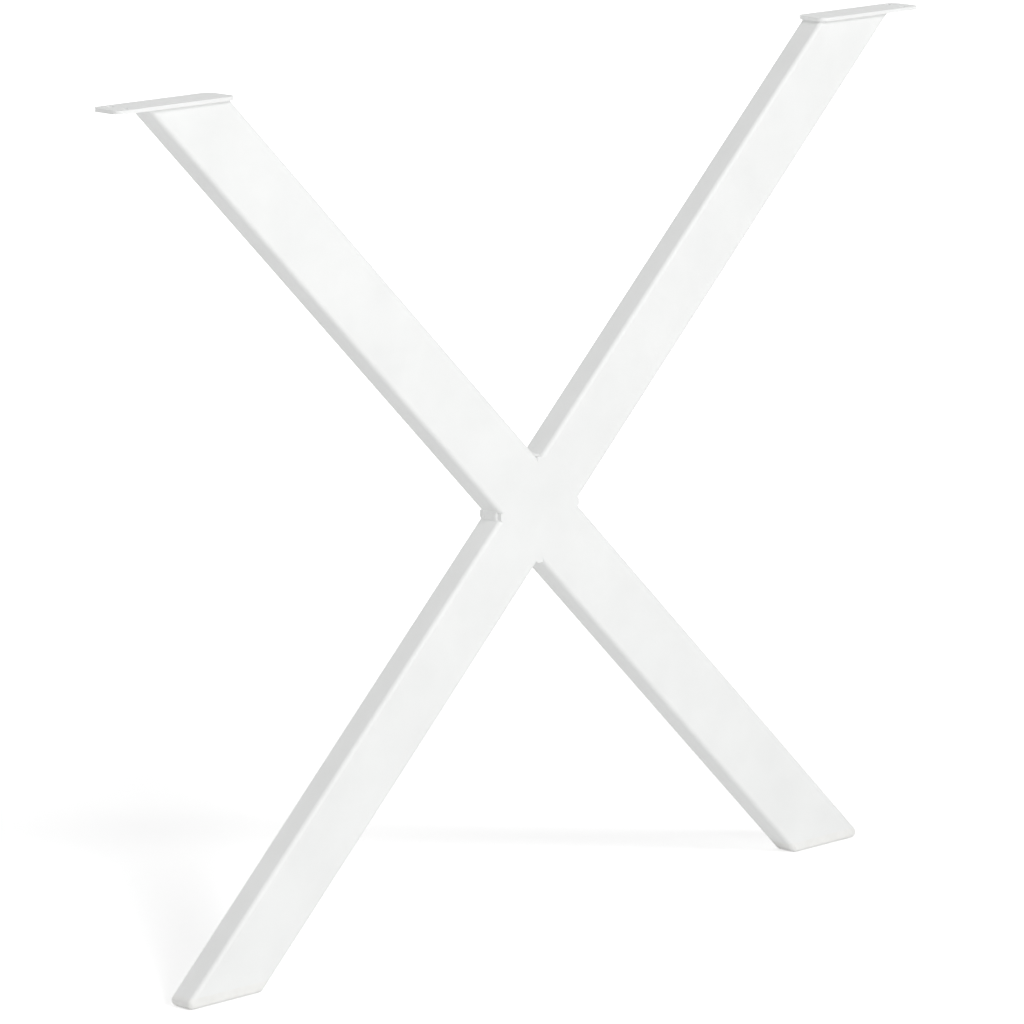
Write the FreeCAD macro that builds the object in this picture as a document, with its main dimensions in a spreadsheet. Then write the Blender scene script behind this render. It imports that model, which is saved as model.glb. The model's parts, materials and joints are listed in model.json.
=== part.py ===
import FreeCAD, Part
import math
import os
import re
import Sketcher

# X shaped table leg: welded rectangular steel tube with screw plates and foot glides.
# Frame: X across the leg, Y through its depth, Z up. The origin is on the floor,
# midway between the feet and in the middle of the tube's depth.

doc = FreeCAD.newDocument("x_table_leg")

# Driving sizes in millimetres.
driving_sizes = [
    ("overall_height", 730.0),
    ("top_span", 770.0),
    ("foot_span", 720.0),
    ("tube_width", 60.0),
    ("tube_depth", 25.0),
    ("tube_wall", 2.0),
    ("tube_corner", 4.0),
    ("notch_weld_leg", 4.0),
    ("plate_thickness", 3.0),
    ("plate_corner", 8.0),
    ("plate_outer_overhang", 35.0),
    ("plate_inner_overhang", 3.0),
    ("plate_side_overhang", 4.0),
    ("plate_weld_leg", 1.5),
    ("hole_diameter", 5.5),
    ("hole_end_inset", 14.0),
    ("hole_side_inset", 8.0),
    ("sole_tip_extra", 1.0),
    ("sole_land", 0.8),
    ("plug_length", 22.0),
    ("plug_wall", 2.0),
    ("plug_clearance", 0.15),
]

# Sizes that follow from the driving ones: where the axes of the two limbs lean, cross and are cut.
# top_span is measured between the limb axes under the plates, foot_span between them on the floor.
# A sole is as high as its round outer tip, whose radius is sole_tip, and a straight land above that.
following_sizes = [
    ("plate_underside", "=overall_height - plate_thickness"),
    ("lean", "=atan2(plate_underside; (top_span + foot_span) / 2)"),
    ("across", "=cos(lean)"),
    ("rise", "=sin(lean)"),
    ("half_cut", "=tube_width / (2 * rise)"),
    ("half_notch", "=tube_width / (2 * across)"),
    ("crossing_height", "=plate_underside * foot_span / (top_span + foot_span)"),
    ("plate_length", "=2 * half_cut + plate_outer_overhang + plate_inner_overhang"),
    ("plate_depth", "=tube_depth + 2 * plate_side_overhang"),
    ("sole_tip", "=tube_corner + sole_tip_extra"),
    ("sole_height", "=sole_tip * (1 + across) + sole_land"),
    ("cut_reach", "=overall_height + top_span + foot_span"),
    ("limb_axis_tilt", "=90 - lean / 1 deg"),
]

sheet = doc.addObject("Spreadsheet::Sheet", "Sizes")
for row, (alias, value) in enumerate(driving_sizes + following_sizes, start=1):
    sheet.set(f"A{row}", alias)
    sheet.set(f"B{row}", str(value))
    sheet.setAlias(f"B{row}", alias)
doc.recompute()


# Shared building steps


def bind(target, path, expression):
    """Ties a property or a constraint to the sheet; each word in the expression is an alias."""
    target.setExpression(path, re.sub(r"[a-z_]+", r"Sizes.\g<0>", expression))


def sheet_value(expression):
    """Present value of an expression, used only to start a sketch near its solution."""
    return float(sheet.evalExpression(expression))


def origin_plane(body, role):
    for feature in body.Origin.OriginFeatures:
        if feature.Role == role:
            return feature
    raise ValueError(role)


def add_sketch(body, name, role):
    sketch = body.newObject("Sketcher::SketchObject", name)
    sketch.AttachmentSupport = (origin_plane(body, role), "")
    sketch.MapMode = "FlatFace"
    return sketch


def limb_section_sketch(body, name, side):
    """Sketch square to a limb's axis at the crossing; side is +1 for a limb that rises to +X."""
    sketch = add_sketch(body, name, "XY_Plane")
    sketch.AttachmentOffset = FreeCAD.Placement(
        FreeCAD.Vector(0, 0, sheet.crossing_height),
        FreeCAD.Rotation(FreeCAD.Vector(0, 1, 0), sheet.limb_axis_tilt),
    )
    bind(sketch, "AttachmentOffset.Base.z", "crossing_height")
    bind(sketch, "AttachmentOffset.Rotation.Angle", f"{side} * limb_axis_tilt")
    return sketch


def add_rounded_rectangle(sketch, width, depth, radius, middle="0"):
    """Rectangle with round corners, centred on the sketch's X axis at the distance middle."""
    start_width = sheet_value(width)
    start_depth = sheet_value(depth)
    start_radius = sheet_value(radius)
    start_middle = sheet_value(middle)
    corners = [(1, -1), (1, 1), (-1, 1), (-1, -1)]
    first = sketch.GeometryCount
    for turn, (side_x, side_y) in enumerate(corners):
        centre = FreeCAD.Vector(
            start_middle + side_x * (start_width / 2 - start_radius),
            side_y * (start_depth / 2 - start_radius),
            0,
        )
        circle = Part.Circle(centre, FreeCAD.Vector(0, 0, 1), start_radius)
        quarter = math.pi / 2
        sketch.addGeometry(Part.ArcOfCircle(circle, quarter * (turn - 1), quarter * turn))
    arcs = [first + turn for turn in range(4)]
    lines = []
    for turn in range(4):
        following = arcs[(turn + 1) % 4]
        begin = sketch.getPoint(arcs[turn], 2)
        end = sketch.getPoint(following, 1)
        lines.append(sketch.addGeometry(Part.LineSegment(begin, end)))
        sketch.addConstraint(Sketcher.Constraint("Tangent", arcs[turn], 2, lines[turn], 1))
        sketch.addConstraint(Sketcher.Constraint("Tangent", lines[turn], 2, following, 1))
    right, top, left, bottom = lines
    for line in (right, left):
        sketch.addConstraint(Sketcher.Constraint("Vertical", line))
    for line in (top, bottom):
        sketch.addConstraint(Sketcher.Constraint("Horizontal", line))
    for arc in arcs[1:]:
        sketch.addConstraint(Sketcher.Constraint("Equal", arcs[0], arc))
    sized = [
        (Sketcher.Constraint("Radius", arcs[0], start_radius), radius),
        (Sketcher.Constraint("DistanceX", left, 1, right, 1, start_width), width),
        (Sketcher.Constraint("DistanceY", bottom, 1, top, 1, start_depth), depth),
        (
            Sketcher.Constraint("DistanceX", -1, 1, right, 1, start_middle + start_width / 2),
            f"{middle} + ({width}) / 2",
        ),
        (Sketcher.Constraint("DistanceY", -1, 1, top, 1, start_depth / 2), f"({depth}) / 2"),
    ]
    for constraint, expression in sized:
        index = sketch.addConstraint(constraint)
        bind(sketch, f"Constraints[{index}]", expression)


def add_polygon(sketch, points):
    """Closed outline through points given as pairs of expressions."""
    places = [FreeCAD.Vector(sheet_value(x), sheet_value(y), 0) for x, y in points]
    lines = []
    for index, place in enumerate(places):
        following = places[(index + 1) % len(places)]
        lines.append(sketch.addGeometry(Part.LineSegment(place, following)))
    for index, line in enumerate(lines):
        following = lines[(index + 1) % len(lines)]
        sketch.addConstraint(Sketcher.Constraint("Coincident", line, 2, following, 1))
    for line, place, (x, y) in zip(lines, places, points):
        for kind, distance, expression in (("DistanceX", place.x, x), ("DistanceY", place.y, y)):
            index = sketch.addConstraint(Sketcher.Constraint(kind, -1, 1, line, 1, distance))
            bind(sketch, f"Constraints[{index}]", expression)


def add_pad(body, name, sketch, length):
    """Extrusion that reaches equally to both sides of its sketch."""
    pad = body.newObject("PartDesign::Pad", name)
    pad.Profile = sketch
    pad.SideType = "Symmetric"
    bind(pad, "Length", length)
    doc.recompute()
    return pad


def add_cut(body, name, sketch, length=None):
    """Cut to both sides of its sketch, right through where no length is given."""
    before = body.Shape.Volume
    pocket = body.newObject("PartDesign::Pocket", name)
    pocket.Profile = sketch
    pocket.SideType = "Symmetric"
    if length is None:
        bind(pocket, "Length", "2 * cut_reach")
    else:
        bind(pocket, "Length", length)
    doc.recompute()
    if body.Shape.Volume >= before:
        raise RuntimeError(f"{body.Label}: {name} removes nothing")
    return pocket


def new_body(label):
    body = doc.addObject("PartDesign::Body", label)
    body.Label = label
    return body


# Outlines in the front view, as X and Z expressions


def level_region(bottom, top):
    """Everything between two heights, wider than the whole leg."""
    return [
        ("-cut_reach", bottom),
        ("cut_reach", bottom),
        ("cut_reach", top),
        ("-cut_reach", top),
    ]


def beyond_long_tube(side):
    """Everything on the far side of the long tube's edge that faces up (+1) or down (-1)."""
    edge_x = f"{side} * half_cut"
    edge_z = "crossing_height"
    run_x = "cut_reach * across"
    run_z = "cut_reach * rise"
    back_x = f"{side} * cut_reach * rise"
    back_z = f"{side} * cut_reach * across"
    return [
        (f"{edge_x} + {run_x}", f"{edge_z} - {run_z}"),
        (f"{edge_x} - {run_x}", f"{edge_z} + {run_z}"),
        (f"{edge_x} - {run_x} - {back_x}", f"{edge_z} + {run_z} - {back_z}"),
        (f"{edge_x} + {run_x} - {back_x}", f"{edge_z} - {run_z} - {back_z}"),
    ]


# Steel tubes


def make_tube(label, side, cuts):
    """Tube section drawn out along its limb, then cut to length."""
    body = new_body(label)
    section = limb_section_sketch(body, label + "_section", side)
    add_rounded_rectangle(section, "tube_width", "tube_depth", "tube_corner")
    add_rounded_rectangle(
        section, "tube_width - 2 * tube_wall", "tube_depth - 2 * tube_wall", "tube_corner - tube_wall"
    )
    add_pad(body, label + "_length", section, "2 * overall_height")
    for name, region in cuts:
        sketch = add_sketch(body, f"{label}_{name}_line", "XZ_Plane")
        add_polygon(sketch, region)
        add_cut(body, f"{label}_{name}", sketch)
    return body


top_cut = ("top_cut", level_region("plate_underside", "plate_underside + cut_reach"))
foot_cut = ("foot_cut", level_region("sole_height - cut_reach", "sole_height"))
long_tube = make_tube("long_tube", -1, [top_cut, foot_cut])
upper_half_tube = make_tube("upper_half_tube", 1, [top_cut, ("mitre", beyond_long_tube(1))])
lower_half_tube = make_tube("lower_half_tube", 1, [foot_cut, ("mitre", beyond_long_tube(-1))])


# Welds where the half tubes meet the long tube


def make_crossing_weld(label, side):
    """Ring of weld metal round a mitred end: fillets in both notches, flush on the broad faces.

    It also fills the grooves that the long tube's round corners leave beside the mitre.
    """
    body = new_body(label)
    leg_x = f"{side} * notch_weld_leg * across"
    leg_z = f"{side} * notch_weld_leg * rise"
    sink_x = f"{side} * tube_corner * rise"
    sink_z = f"{side} * tube_corner * across"
    middle_x = "0"
    middle_z = f"crossing_height + {side} * half_notch"
    outer_x = f"{side} * half_cut"
    outer_z = "crossing_height"
    along_long_tube = [
        (f"{middle_x} - {leg_x}", f"{middle_z} + {leg_z}"),
        (f"{outer_x} + {leg_x}", f"{outer_z} - {leg_z}"),
    ]
    along_half_tube = [
        (f"{outer_x} + {leg_x}", f"{outer_z} + {leg_z}"),
        (f"{middle_x} + {leg_x}", f"{middle_z} + {leg_z}"),
    ]
    in_grooves = [
        (f"{outer_x} - {sink_x}", f"{outer_z} - {sink_z}"),
        (f"{middle_x} - {sink_x}", f"{middle_z} - {sink_z}"),
    ]
    fillets = add_sketch(body, label + "_fillet_outline", "XZ_Plane")
    add_polygon(fillets, along_long_tube + along_half_tube)
    add_pad(body, label + "_fillets", fillets, "tube_depth")
    half_section = limb_section_sketch(body, label + "_half_tube_section", 1)
    add_rounded_rectangle(half_section, "tube_width", "tube_depth", "tube_corner")
    add_cut(body, label + "_round_half_tube", half_section)
    grooves = add_sketch(body, label + "_groove_outline", "XZ_Plane")
    add_polygon(grooves, along_long_tube + in_grooves)
    add_pad(body, label + "_grooves", grooves, "tube_depth")
    long_section = limb_section_sketch(body, label + "_long_tube_section", -1)
    add_rounded_rectangle(long_section, "tube_width", "tube_depth", "tube_corner")
    add_cut(body, label + "_beside_long_tube", long_section)
    return body


upper_crossing_weld = make_crossing_weld("upper_crossing_weld", 1)
lower_crossing_weld = make_crossing_weld("lower_crossing_weld", -1)


# Screw plates and the welds under them


def make_mounting_plate(label, side):
    """Flat bar across a tube's upper end, level with the other, with a screw tab beyond the tube.

    A screw is driven up through the tab, where the limb leans away from under it.
    """
    body = new_body(label)
    middle = f"{side} * (top_span / 2 + (plate_outer_overhang - plate_inner_overhang) / 2)"
    outline = add_sketch(body, label + "_outline", "XY_Plane")
    bind(outline, "AttachmentOffset.Base.z", "plate_underside + plate_thickness / 2")
    add_rounded_rectangle(outline, "plate_length", "plate_depth", "plate_corner", middle)
    add_pad(body, label + "_sheet", outline, "plate_thickness")
    holes = add_sketch(body, label + "_hole_places", "XY_Plane")
    bind(holes, "AttachmentOffset.Base.z", "plate_underside")
    radius = sheet.hole_diameter / 2
    x = f"{middle} + {side} * (plate_length / 2 - hole_end_inset)"
    for edge in (-1, 1):
        y = f"{edge} * (plate_depth / 2 - hole_side_inset)"
        place = FreeCAD.Vector(sheet_value(x), sheet_value(y), 0)
        circle = holes.addGeometry(Part.Circle(place, FreeCAD.Vector(0, 0, 1), radius))
        sized = [
            (Sketcher.Constraint("Radius", circle, radius), "hole_diameter / 2"),
            (Sketcher.Constraint("DistanceX", -1, 1, circle, 3, place.x), x),
            (Sketcher.Constraint("DistanceY", -1, 1, circle, 3, place.y), y),
        ]
        for constraint, expression in sized:
            index = holes.addConstraint(constraint)
            bind(holes, f"Constraints[{index}]", expression)
    add_cut(body, label + "_holes", holes)
    return body


def make_plate_weld(label, side):
    """Fillet all round a tube's upper end, from the plate's underside down the tube's walls."""
    body = new_body(label)
    # The bead runs on past its toe into the tube's wall, so that the tube cuts it to a clean edge.
    into_wall = "tube_wall / 2"
    toe_drop = f"(plate_weld_leg + {into_wall})"
    sections = []
    levels = [
        ("toe", toe_drop, f"-({into_wall})"),
        ("face", "0", "plate_weld_leg"),
    ]
    for name, drop, reach in levels:
        sketch = add_sketch(body, f"{label}_{name}", "XY_Plane")
        bind(sketch, "AttachmentOffset.Base.z", f"plate_underside - {drop}")
        add_rounded_rectangle(
            sketch,
            f"2 * half_cut + 2 * ({reach})",
            f"tube_depth + 2 * ({reach})",
            f"tube_corner + ({reach})",
            f"{side} * (top_span / 2 - {drop} * across / rise)",
        )
        sections.append(sketch)
    bead = body.newObject("PartDesign::AdditiveLoft", label + "_bead")
    bead.Profile = sections[0]
    bead.Sections = [sections[1]]
    bead.Ruled = True
    doc.recompute()
    tube_section = limb_section_sketch(body, label + "_tube_section", side)
    add_rounded_rectangle(tube_section, "tube_width", "tube_depth", "tube_corner")
    add_cut(body, label + "_round_tube", tube_section)
    return body


left_mounting_plate = make_mounting_plate("left_mounting_plate", -1)
right_mounting_plate = make_mounting_plate("right_mounting_plate", 1)
left_plate_weld = make_plate_weld("left_plate_weld", -1)
right_plate_weld = make_plate_weld("right_plate_weld", 1)


# Moulded foot glides


def foot_point(side, offset, height):
    """Point beside a limb's axis near the floor: offset is outward, both are expressions."""
    x = f"{side} * (foot_span / 2 - ({height}) * across / rise + ({offset}))"
    return (x, height)


def edge_names(shape, chosen):
    """Names of a shape's edges whose boxes are chosen."""
    return [f"Edge{index}" for index, edge in enumerate(shape.Edges, start=1) if chosen(edge.BoundBox)]


def through_depth_on_floor(box):
    """Edge of a sole that lies on the floor and runs through its depth, at either end."""
    return box.ZMax < sheet.sole_land / 2 and box.YLength > sheet.tube_depth / 2


def round_broad_face(box):
    """Edge round a sole's front or back face, apart from its seat under the tube."""
    return box.YLength < sheet.tube_depth / 2 and box.ZMin < sheet.sole_height - sheet.sole_land / 2


def up_plug(box):
    """Edge that runs up the plug, inside one of the tube's round corners."""
    return box.ZLength > sheet.plug_length / 2 and box.ZMin > sheet.sole_height / 2


def make_foot_glide(label, side):
    """Hollow plug up the tube, with a sole under the tube's end that carries on the tube's outline."""
    body = new_body(label)
    sole_outline = add_sketch(body, label + "_sole_outline", "XZ_Plane")
    add_polygon(
        sole_outline,
        [
            foot_point(side, "-half_cut", "0"),
            foot_point(side, "half_cut", "0"),
            foot_point(side, "half_cut", "sole_height"),
            foot_point(side, "-half_cut", "sole_height"),
        ],
    )
    sole = add_pad(body, label + "_sole", sole_outline, "tube_depth")
    tips = body.newObject("PartDesign::Fillet", label + "_tips")
    tips.Base = (sole, edge_names(sole.Shape, through_depth_on_floor))
    bind(tips, "Radius", "sole_tip")
    doc.recompute()
    corners = body.newObject("PartDesign::Fillet", label + "_corners")
    corners.Base = (tips, edge_names(tips.Shape, round_broad_face))
    bind(corners, "Radius", "tube_corner")
    doc.recompute()
    shell_gap = "tube_wall + plug_clearance"
    plug_top = "sole_height + plug_length"
    plug_half = f"half_cut - ({shell_gap}) / rise"
    plug_outline = add_sketch(body, label + "_plug_outline", "XZ_Plane")
    add_polygon(
        plug_outline,
        [
            foot_point(side, f"-({plug_half})", "sole_height"),
            foot_point(side, plug_half, "sole_height"),
            foot_point(side, plug_half, plug_top),
            foot_point(side, f"-({plug_half})", plug_top),
        ],
    )
    plug = add_pad(body, label + "_plug", plug_outline, f"tube_depth - 2 * ({shell_gap})")
    plug_corners = body.newObject("PartDesign::Fillet", label + "_plug_corners")
    plug_corners.Base = (plug, edge_names(plug.Shape, up_plug))
    bind(plug_corners, "Radius", "tube_corner - tube_wall")
    doc.recompute()
    hollow_half = f"half_cut - ({shell_gap} + plug_wall) / rise"
    hollow_outline = add_sketch(body, label + "_hollow_outline", "XZ_Plane")
    add_polygon(
        hollow_outline,
        [
            foot_point(side, f"-({hollow_half})", "sole_height"),
            foot_point(side, hollow_half, "sole_height"),
            foot_point(side, hollow_half, f"{plug_top} + plug_wall"),
            foot_point(side, f"-({hollow_half})", f"{plug_top} + plug_wall"),
        ],
    )
    add_cut(body, label + "_hollow", hollow_outline, f"tube_depth - 2 * ({shell_gap} + plug_wall)")
    return body


left_foot_glide = make_foot_glide("left_foot_glide", -1)
right_foot_glide = make_foot_glide("right_foot_glide", 1)

doc.recompute()

# Checks, then one file for each piece

nodes = [
    long_tube,
    upper_half_tube,
    lower_half_tube,
    upper_crossing_weld,
    lower_crossing_weld,
    left_mounting_plate,
    right_mounting_plate,
    left_plate_weld,
    right_plate_weld,
    left_foot_glide,
    right_foot_glide,
]
for item in doc.Objects:
    if "Invalid" in item.State or "Error" in item.State:
        raise RuntimeError(f"{item.Label} failed: {item.State}")
for node in nodes:
    if node.Shape.isNull() or not node.Shape.isValid():
        raise RuntimeError(f"{node.Label} has no valid shape")
    if len(node.Shape.Solids) != 1:
        raise RuntimeError(f"{node.Label} has {len(node.Shape.Solids)} solids")

os.makedirs("parts", exist_ok=True)
for node in nodes:
    node.Shape.exportStep(f"parts/{node.Label}.step")
    print(f"{node.Label}: {node.Shape.Volume / 1000:.2f} cm3")
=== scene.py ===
# X shaped table leg in white powder coated steel: finishes, weld beads, studio light and camera
import json
import math

import bmesh
import bpy
from mathutils import Matrix, Vector


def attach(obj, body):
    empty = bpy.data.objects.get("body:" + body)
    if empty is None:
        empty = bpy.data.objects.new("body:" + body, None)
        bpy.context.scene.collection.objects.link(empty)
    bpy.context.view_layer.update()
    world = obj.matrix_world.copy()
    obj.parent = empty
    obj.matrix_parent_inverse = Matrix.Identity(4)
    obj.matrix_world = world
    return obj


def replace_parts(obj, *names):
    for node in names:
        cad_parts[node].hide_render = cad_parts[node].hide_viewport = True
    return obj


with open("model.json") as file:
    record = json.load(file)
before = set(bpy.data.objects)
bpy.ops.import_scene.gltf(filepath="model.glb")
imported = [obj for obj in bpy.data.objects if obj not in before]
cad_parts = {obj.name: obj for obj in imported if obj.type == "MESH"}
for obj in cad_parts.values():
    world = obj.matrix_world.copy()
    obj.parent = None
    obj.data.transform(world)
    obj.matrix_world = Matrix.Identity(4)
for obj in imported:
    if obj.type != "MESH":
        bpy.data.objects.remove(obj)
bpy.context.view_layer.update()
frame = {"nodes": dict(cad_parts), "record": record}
mm = 0.001  # the scene is in metres, the leg's own sizes below are written in millimetres
print("frame loaded:", len(frame["nodes"]), "nodes")


# colour and node helpers

def hexLinear(hexText):
    # sRGB hex to the linear values that shaders work in
    channels = [int(hexText[i:i + 2], 16) / 255 for i in (1, 3, 5)]
    return [c / 12.92 if c <= 0.04045 else ((c + 0.055) / 1.055) ** 2.4 for c in channels] + [1.0]


def addNode(tree, kind, settings=None, values=None, links=None, stops=()):
    # settings are the node's own properties, values go to its sockets, links come from other nodes,
    # and stops are the two ends of a colour ramp, each as (place, colour)
    node = tree.nodes.new(kind)
    for name, value in (settings or {}).items():
        setattr(node, name, value)
    for socket, value in (values or {}).items():
        node.inputs[socket].default_value = value
    for socket, source in (links or {}).items():
        tree.links.new(source, node.inputs[socket])
    for i, (place, colour) in enumerate(stops):
        node.color_ramp.elements[i].position = place
        node.color_ramp.elements[i].color = colour
    return node


def newMaterial(name):
    material = bpy.data.materials.new(name)
    material.use_nodes = True
    material.node_tree.nodes.clear()
    return material, material.node_tree


def seenByCamera(tree):
    # 1 where the camera looks, also in a reflection or through glass, and 0 for light on the leg
    ray = addNode(tree, "ShaderNodeLightPath")
    direct = addNode(tree, "ShaderNodeMath", {"operation": "MAXIMUM"},
                     links={0: ray.outputs["Is Camera Ray"], 1: ray.outputs["Is Glossy Ray"]})
    through = addNode(tree, "ShaderNodeMath", {"operation": "MAXIMUM"},
                      links={0: direct.outputs["Value"], 1: ray.outputs["Is Transmission Ray"]})
    return through.outputs["Value"]


plainWhite = hexLinear("#FFFFFF")


# polyester powder, sprayed on blasted steel and baked: it flows out to a satin white film with a
# soft orange peel, a little cloudy where the film is thinner, and it takes a broad highlight

powderCoat = {
    "thick": "#F5F6F5",      # full film
    "thin": "#F0F1F0",       # thinner film, where a trace of the grey primer comes through
    "thinToThick": (0.45, 0.85),
    "cloud": 55,             # mm across a patch of thinner film
    "cloudDetail": 4.0,
    "grain": 0.9,            # mm, cured powder grain, really about 0.1: drawn coarser so that it shows
    "grainDetail": 2.0,
    "grainShare": 0.35,      # how much the grain breaks up the patches
    "peel": 3.2,             # mm from crest to crest, really about 1.5: drawn coarser so that it shows
    "peelDetail": 1.0,
    "peelHeight": 0.05,      # mm
    "roughness": (0.42, 0.54),
    "ior": 1.5,
}


def makePowderCoat():
    p = powderCoat
    material, tree = newMaterial("polyester_powder_coat_baked_on_steel")
    place = addNode(tree, "ShaderNodeTexCoord").outputs["Object"]
    clouds = addNode(tree, "ShaderNodeTexNoise",
                     values={"Scale": 1 / (p["cloud"] * mm), "Detail": p["cloudDetail"]},
                     links={"Vector": place})
    grain = addNode(tree, "ShaderNodeTexNoise",
                    values={"Scale": 1 / (p["grain"] * mm), "Detail": p["grainDetail"]},
                    links={"Vector": place})
    film = addNode(tree, "ShaderNodeMath", {"operation": "MULTIPLY_ADD", "use_clamp": True},
                   {1: p["grainShare"]}, {0: grain.outputs["Fac"], 2: clouds.outputs["Fac"]})
    thinAt, thickAt = p["thinToThick"]
    colour = addNode(tree, "ShaderNodeValToRGB", links={"Fac": film.outputs["Value"]},
                     stops=[(thinAt, hexLinear(p["thin"])), (thickAt, hexLinear(p["thick"]))])
    peel = addNode(tree, "ShaderNodeTexNoise",
                   values={"Scale": 1 / (p["peel"] * mm), "Detail": p["peelDetail"]},
                   links={"Vector": place})
    bump = addNode(tree, "ShaderNodeBump", values={"Strength": 1.0, "Distance": p["peelHeight"] * mm},
                   links={"Height": peel.outputs["Fac"]})
    gloss = addNode(tree, "ShaderNodeMapRange",
                    values={"To Min": p["roughness"][0], "To Max": p["roughness"][1]},
                    links={"Value": clouds.outputs["Fac"]})
    shader = addNode(tree, "ShaderNodeBsdfPrincipled", values={"IOR": p["ior"]},
                     links={"Base Color": colour.outputs["Color"], "Normal": bump.outputs["Normal"],
                            "Roughness": gloss.outputs["Result"]})
    addNode(tree, "ShaderNodeOutputMaterial", links={"Surface": shader.outputs["BSDF"]})
    return material


# low density polyethylene, moulded in a spark eroded tool: waxy, a touch warmer and duller than the
# coat, with a fine even pebble and light that goes a little way in

glidePlastic = {
    "body": "#F4F4F2",
    "worn": "#EEEEEB",       # rubbed pebble tops
    "wornToBody": (0.3, 0.6),
    "patch": 14,             # mm across a rubbed patch
    "patchDetail": 3.0,
    "pebble": 1.1,           # mm, really about 0.2: drawn coarser so that it shows
    "pebbleSoftness": 0.6,
    "pebbleHeight": 0.03,    # mm
    "roughness": (0.48, 0.62),
    "ior": 1.51,
    "lightIn": 0.15,         # share of the light that goes in
    "depth": 1.2,            # mm that it goes in
}


def makeGlidePlastic():
    p = glidePlastic
    material, tree = newMaterial("polyethylene_moulded_spark_eroded")
    place = addNode(tree, "ShaderNodeTexCoord").outputs["Object"]
    pebble = addNode(tree, "ShaderNodeTexVoronoi", {"feature": "SMOOTH_F1"},
                     {"Scale": 1 / (p["pebble"] * mm), "Smoothness": p["pebbleSoftness"]},
                     {"Vector": place})
    patches = addNode(tree, "ShaderNodeTexNoise",
                      values={"Scale": 1 / (p["patch"] * mm), "Detail": p["patchDetail"]},
                      links={"Vector": place})
    wornAt, bodyAt = p["wornToBody"]
    colour = addNode(tree, "ShaderNodeValToRGB", links={"Fac": patches.outputs["Fac"]},
                     stops=[(wornAt, hexLinear(p["worn"])), (bodyAt, hexLinear(p["body"]))])
    bump = addNode(tree, "ShaderNodeBump", values={"Strength": 1.0, "Distance": p["pebbleHeight"] * mm},
                   links={"Height": pebble.outputs["Distance"]})
    gloss = addNode(tree, "ShaderNodeMapRange",
                    values={"To Min": p["roughness"][0], "To Max": p["roughness"][1]},
                    links={"Value": patches.outputs["Fac"]})
    shader = addNode(tree, "ShaderNodeBsdfPrincipled",
                     values={"IOR": p["ior"], "Subsurface Weight": p["lightIn"],
                             "Subsurface Radius": (p["depth"] * mm,) * 3, "Subsurface Scale": 1.0},
                     links={"Base Color": colour.outputs["Color"], "Normal": bump.outputs["Normal"],
                            "Roughness": gloss.outputs["Result"]})
    addNode(tree, "ShaderNodeOutputMaterial", links={"Surface": shader.outputs["BSDF"]})
    return material


finishes = {"powder_coat": makePowderCoat(), "glide_plastic": makeGlidePlastic()}
for row in frame["record"]["subparts"]:
    node = frame["nodes"][row["node"]]
    node.data.materials.clear()
    node.data.materials.append(finishes[row["material_slot"]])
print("finishes set:", ", ".join(finishes))


# where the welds run: the leg's own sizes in mm

legForm = {
    "topSpan": 770,          # between the tubes' centre lines under the plates
    "footSpan": 720,         # between them on the floor
    "plateUnderside": 727,   # above the floor
    "tubeWidth": 60,
    "tubeDepth": 25,
    "tubeCorner": 4,
}
bothSpans = legForm["topSpan"] + legForm["footSpan"]
crossingHeight = legForm["plateUnderside"] * legForm["footSpan"] / bothSpans
lean = math.atan2(legForm["plateUnderside"], bothSpans / 2)
across, rise = math.cos(lean), math.sin(lean)  # of one step along a tube


# what all weld beads share

weldBead = {
    "drift": ((0.5, 7.3), (0.3, 2.9)),  # mm that the torch steps stray, and mm of run for a radian of it
    "crest": 0.6,            # power of a step's rise, which rounds its crest
    "sharpEdge": 50,         # degrees from which an edge stays sharp
}


def torchStep(run, pitch):
    # low crest that falls off at each step of the torch, with the steps drifting a little
    drifted = run
    for stray, stretch in weldBead["drift"]:
        drifted += stray * math.sin(run / stretch)
    step = drifted / pitch
    return (step - math.floor(step)) ** weldBead["crest"]


def bulgeAt(t):
    # share of the bulge across a bead's face: none at either toe and all of it midway
    return 4 * t * (1 - t)


def makeBead(name, rings, closed):
    # skin over rings of points in mm, joined end to end or capped
    shape = bmesh.new()
    rows = [[shape.verts.new(point * mm) for point in ring] for ring in rings]
    for here, after in zip(rows, rows[1:] + rows[:1] if closed else rows[1:]):
        for i in range(len(here)):
            j = (i + 1) % len(here)
            shape.faces.new((here[i], here[j], after[j], after[i]))
    if not closed:
        shape.faces.new(rows[0])
        shape.faces.new(rows[-1])
    bmesh.ops.recalc_face_normals(shape, faces=shape.faces)
    mesh = bpy.data.meshes.new(name)
    shape.to_mesh(mesh)
    shape.free()
    mesh.shade_smooth()
    mesh.set_sharp_from_angle(angle=math.radians(weldBead["sharpEdge"]))
    mesh.materials.append(finishes["powder_coat"])
    bead = bpy.data.objects.new(name, mesh)
    bpy.context.scene.collection.objects.link(bead)
    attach(bead, "root")
    return bead


# small fillet bead all round each tube under its plate

plateBead = {
    "leg": 1.4,              # mm on the plate and on the tube
    "step": 0.16,            # share of the leg that a torch step adds
    "bulge": 0.3,            # mm that the face stands out
    "pitch": 2.4,            # mm from step to step
    "spacing": 0.5,          # mm between rings
    "arcCuts": 12,
    "faceCuts": 5,
}


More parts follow.
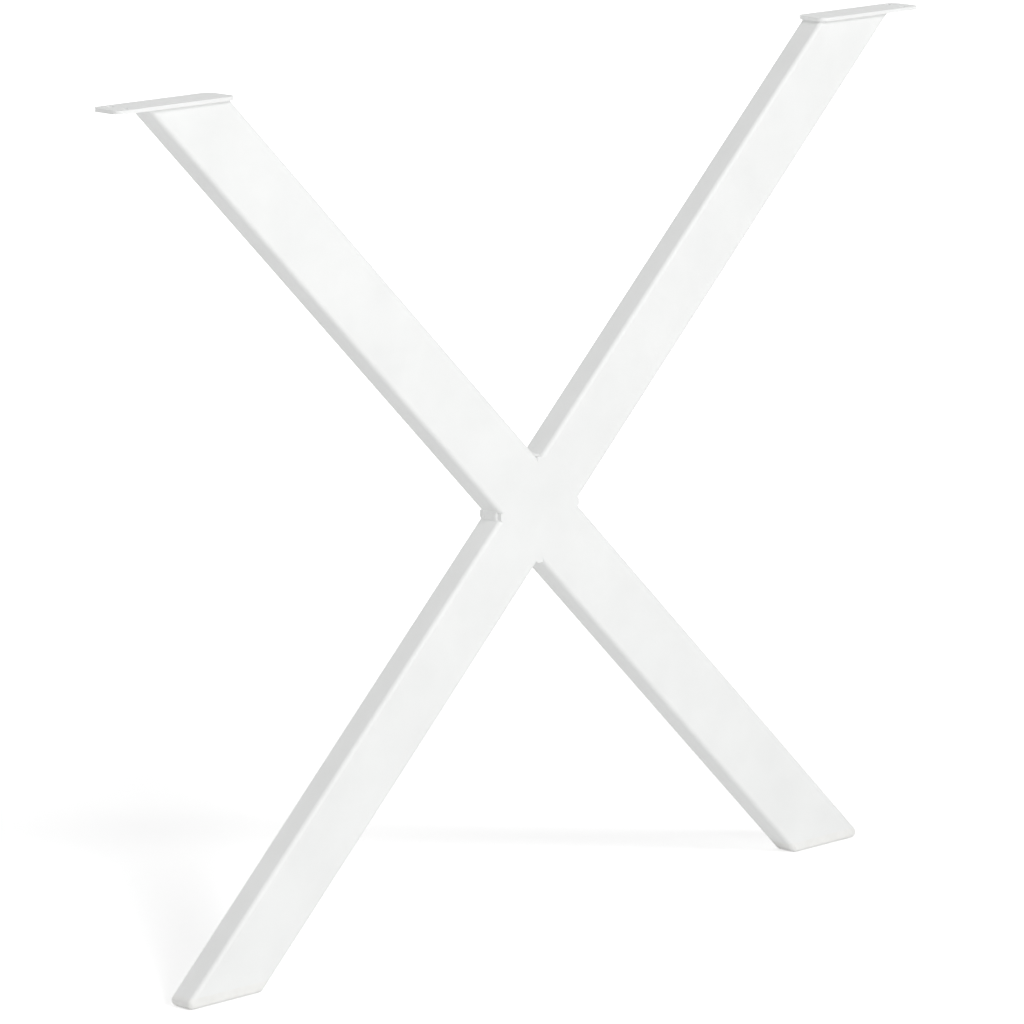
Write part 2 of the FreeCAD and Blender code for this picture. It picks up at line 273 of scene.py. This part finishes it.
def tubeOutline(spacing, arcCuts):
    # points round the tube's section with their outward normals: u across its width, v through its depth
    f = legForm
    r = f["tubeCorner"]
    u, v = f["tubeWidth"] / 2 - r, f["tubeDepth"] / 2 - r
    centres = [(u, v), (-u, v), (-u, -v), (u, -v)]
    outline = []
    for k, (cu, cv) in enumerate(centres):
        for i in range(arcCuts + 1):
            turn = (k + i / arcCuts) * math.pi / 2
            nu, nv = math.cos(turn), math.sin(turn)
            outline.append((cu + r * nu, cv + r * nv, nu, nv))
        endU, endV, nu, nv = outline[-1]
        nextU, nextV = centres[(k + 1) % len(centres)]
        runU, runV = nextU + r * nu - endU, nextV + r * nv - endV
        cuts = int(math.hypot(runU, runV) / spacing)
        for i in range(1, cuts):
            outline.append((endU + runU * i / cuts, endV + runV * i / cuts, nu, nv))
    return outline


def makePlateBead(name, side):
    p, f = plateBead, legForm
    down = Vector((-side * across, 0, -rise))  # along the tube, away from the plate
    rings = []
    run, last = 0, None
    for u, v, nu, nv in tubeOutline(p["spacing"], p["arcCuts"]):
        root = Vector((side * f["topSpan"] / 2 + u / rise, v, f["plateUnderside"]))
        out = Vector((nu * rise, nv, 0)).normalized()
        run += (root - last).length if last else 0
        last = root
        leg = p["leg"] * (1 + p["step"] * torchStep(run, p["pitch"]))
        proud = (out + down).normalized() * p["bulge"]
        ring = [root]
        for i in range(p["faceCuts"] + 1):
            t = i / p["faceCuts"]
            ring.append(root + out * leg * (1 - t) + down * leg * t + proud * bulgeAt(t))
        rings.append(ring)
    return makeBead(name, rings, closed=True)


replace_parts(makePlateBead("left_plate_bead", -1), "left_plate_weld")
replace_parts(makePlateBead("right_plate_bead", 1), "right_plate_weld")
print("plate beads laid")


# stepped bead in each notch of the crossing, ground away towards the broad faces

notchBead = {
    "flushLeg": 4.0,         # mm along both tubes where the bead was ground
    "weldLeg": 5.2,          # mm along both tubes where it was left as welded
    "step": 0.6,             # mm that a torch step adds to the leg
    "bulge": 0.3,            # mm that the face stands out
    "pitch": 2.9,            # mm from step to step
    "ground": (6.5, 9.5),    # mm from the middle of the depth, from left as welded to ground flush
    "sink": 0.05,            # mm under the flush weld where it ends
    "endGap": 0.4,           # mm short of the broad faces
    "spacing": 0.4,          # mm between rings
    "faceCuts": 9,
}


def makeNotchBead(name, root, wallA, wallB):
    p = notchBead
    proud = (wallA + wallB).normalized() * p["bulge"]
    asWelded, flush = p["ground"]
    reach = legForm["tubeDepth"] / 2 - p["endGap"]
    cuts = int(2 * reach / p["spacing"])
    rings = []
    for k in range(cuts + 1):
        y = -reach + 2 * reach * k / cuts
        kept = min(1, max(0, (flush - abs(y)) / (flush - asWelded)))
        kept = kept * kept * (3 - 2 * kept)  # eased at both ends
        fullLeg = p["weldLeg"] + p["step"] * torchStep(y + reach, p["pitch"])
        leg = kept * fullLeg + (1 - kept) * (p["flushLeg"] - p["sink"])
        middle = root + Vector((0, y, 0))
        ring = []
        for i in range(p["faceCuts"] + 1):
            t = i / p["faceCuts"]
            ring.append(middle + wallA * leg * (1 - t) + wallB * leg * t + proud * kept * bulgeAt(t))
        rings.append(ring + [middle])
    makeBead(name, rings, closed=False)


# each notch: which way it lies from the middle of the crossing, and the two tube sides that leave it
notches = {
    "upper_notch_bead": ((0, 1), (-1, 1), (1, 1)),
    "lower_notch_bead": ((0, -1), (-1, -1), (1, -1)),
    "left_notch_bead": ((-1, 0), (-1, 1), (-1, -1)),
    "right_notch_bead": ((1, 0), (1, 1), (1, -1)),
}
halfTube = legForm["tubeWidth"] / 2
for name, (place, *walls) in notches.items():
    root = Vector((place[0] * halfTube / rise, 0, crossingHeight + place[1] * halfTube / across))
    makeNotchBead(name, root, *(Vector((x * across, 0, z * rise)) for x, z in walls))
print("notch beads laid:", len(notches))


# plain pale floor, white where the light falls freely, with the leg's own soft shadow

studioFloor = {
    "size": 60.0,            # m
    "bounce": "#F2F2F2",     # what it gives back to the leg
    "seen": "#F8F8F8",
    "nearWhite": 0.40,       # lift round the feet, low enough for the shadow to show
    "farWhite": 1.0,
    "fade": (0.7, 2.2),      # m from the middle
}


def makeFloor():
    p = studioFloor
    mesh = bpy.data.meshes.new("studio_floor")
    half = p["size"] / 2
    corners = [(-half, -half, 0), (half, -half, 0), (half, half, 0), (-half, half, 0)]
    mesh.from_pydata(corners, [], [(0, 1, 2, 3)])
    floor = bpy.data.objects.new("studio_floor", mesh)
    bpy.context.scene.collection.objects.link(floor)
    material, tree = newMaterial("matt_studio_paper")
    bounce = addNode(tree, "ShaderNodeBsdfDiffuse", values={"Color": hexLinear(p["bounce"])})
    shade = addNode(tree, "ShaderNodeBsdfDiffuse", values={"Color": hexLinear(p["seen"])})
    spot = addNode(tree, "ShaderNodeTexCoord").outputs["Object"]
    away = addNode(tree, "ShaderNodeVectorMath", {"operation": "LENGTH"}, links={0: spot})
    lift = addNode(tree, "ShaderNodeMapRange",
                   values={"From Min": p["fade"][0], "From Max": p["fade"][1],
                           "To Min": p["nearWhite"], "To Max": p["farWhite"]},
                   links={"Value": away.outputs["Value"]})
    glow = addNode(tree, "ShaderNodeEmission", values={"Color": plainWhite},
                   links={"Strength": lift.outputs["Result"]})
    seen = addNode(tree, "ShaderNodeAddShader", links={0: shade.outputs[0], 1: glow.outputs[0]})
    both = addNode(tree, "ShaderNodeMixShader",
                   links={0: seenByCamera(tree), 1: bounce.outputs[0], 2: seen.outputs[0]})
    addNode(tree, "ShaderNodeOutputMaterial", links={"Surface": both.outputs[0]})
    mesh.materials.append(material)


# soft studio light: an even white room, a softbox high in front that gives the plates their shadow,
# a larger one front left, a weak one low on the left and one low at the back

studioLight = {
    "room": 0.495,           # strength of the room's light on the leg
    "backdrop": 1.0,         # strength at which the room is seen as white
    "softboxes": {           # m and watts
        "high_front_softbox": {"at": (0.2, -4.6, 3.9), "aim": (0, 0, 0.36), "size": 1.4, "watts": 104},
        "front_left_softbox": {"at": (-2.2, -5.45, 1.55), "aim": (0, 0, 0.36), "size": 2.4, "watts": 52},
        "low_left_softbox": {"at": (-2.4, -1.2, 0.3), "aim": (-0.25, 0, 0.15), "size": 0.8, "watts": 3},
        "back_softbox": {"at": (0, 5.2, 0.65), "aim": (0, 0, 0.36), "size": 1.2, "watts": 65},
    },
}


def makeLight():
    p = studioLight
    world = bpy.data.worlds.new("white_room")
    world.use_nodes = True
    tree = world.node_tree
    tree.nodes.clear()
    room = addNode(tree, "ShaderNodeBackground", values={"Color": plainWhite, "Strength": p["room"]})
    backdrop = addNode(tree, "ShaderNodeBackground",
                       values={"Color": plainWhite, "Strength": p["backdrop"]})
    both = addNode(tree, "ShaderNodeMixShader",
                   links={0: seenByCamera(tree), 1: room.outputs[0], 2: backdrop.outputs[0]})
    addNode(tree, "ShaderNodeOutputWorld", links={"Surface": both.outputs[0]})
    bpy.context.scene.world = world
    for name, box in p["softboxes"].items():
        lamp = bpy.data.lights.new(name, "AREA")
        lamp.shape = "SQUARE"
        lamp.size = box["size"]
        lamp.energy = box["watts"]
        holder = bpy.data.objects.new(name, lamp)
        bpy.context.scene.collection.objects.link(holder)
        holder.location = box["at"]
        aim = Vector(box["aim"]) - Vector(box["at"])
        holder.rotation_euler = aim.to_track_quat("-Z", "Y").to_euler()


# camera at the photograph's viewing angle

photoCamera = {
    "azimuth": 44.94,        # degrees round from the leg's front, towards its left
    "elevation": 11.47,      # degrees down
    "roll": -0.08,           # degrees
    "target": (-20.64, 0, 350.40),  # mm, the point in the middle of the picture
    "distance": 5394.8,      # mm
    "lens": 229.27,          # mm
    "sensor": 36,            # mm
    "farClip": 200,          # m
}


def makeCamera():
    p = photoCamera
    turn, dip, roll = (math.radians(p[k]) for k in ("azimuth", "elevation", "roll"))
    ahead = Vector((math.sin(turn) * math.cos(dip), math.cos(turn) * math.cos(dip), -math.sin(dip)))
    level = Vector((math.cos(turn), -math.sin(turn), 0))
    upward = level.cross(ahead)
    right = math.cos(roll) * level + math.sin(roll) * upward
    up = math.cos(roll) * upward - math.sin(roll) * level
    at = (Vector(p["target"]) - ahead * p["distance"]) * mm
    data = bpy.data.cameras.new("photo_camera")
    data.lens = p["lens"]
    data.sensor_width = p["sensor"]
    data.sensor_fit = "HORIZONTAL"
    data.clip_end = p["farClip"]
    camera = bpy.data.objects.new("photo_camera", data)
    bpy.context.scene.collection.objects.link(camera)
    turned = Matrix((right, up, -ahead)).transposed().to_4x4()
    camera.matrix_world = Matrix.Translation(at) @ turned
    bpy.context.scene.camera = camera


makeFloor()
makeLight()
makeCamera()
bpy.context.scene.view_settings.view_transform = "Standard"
print("studio and camera set")
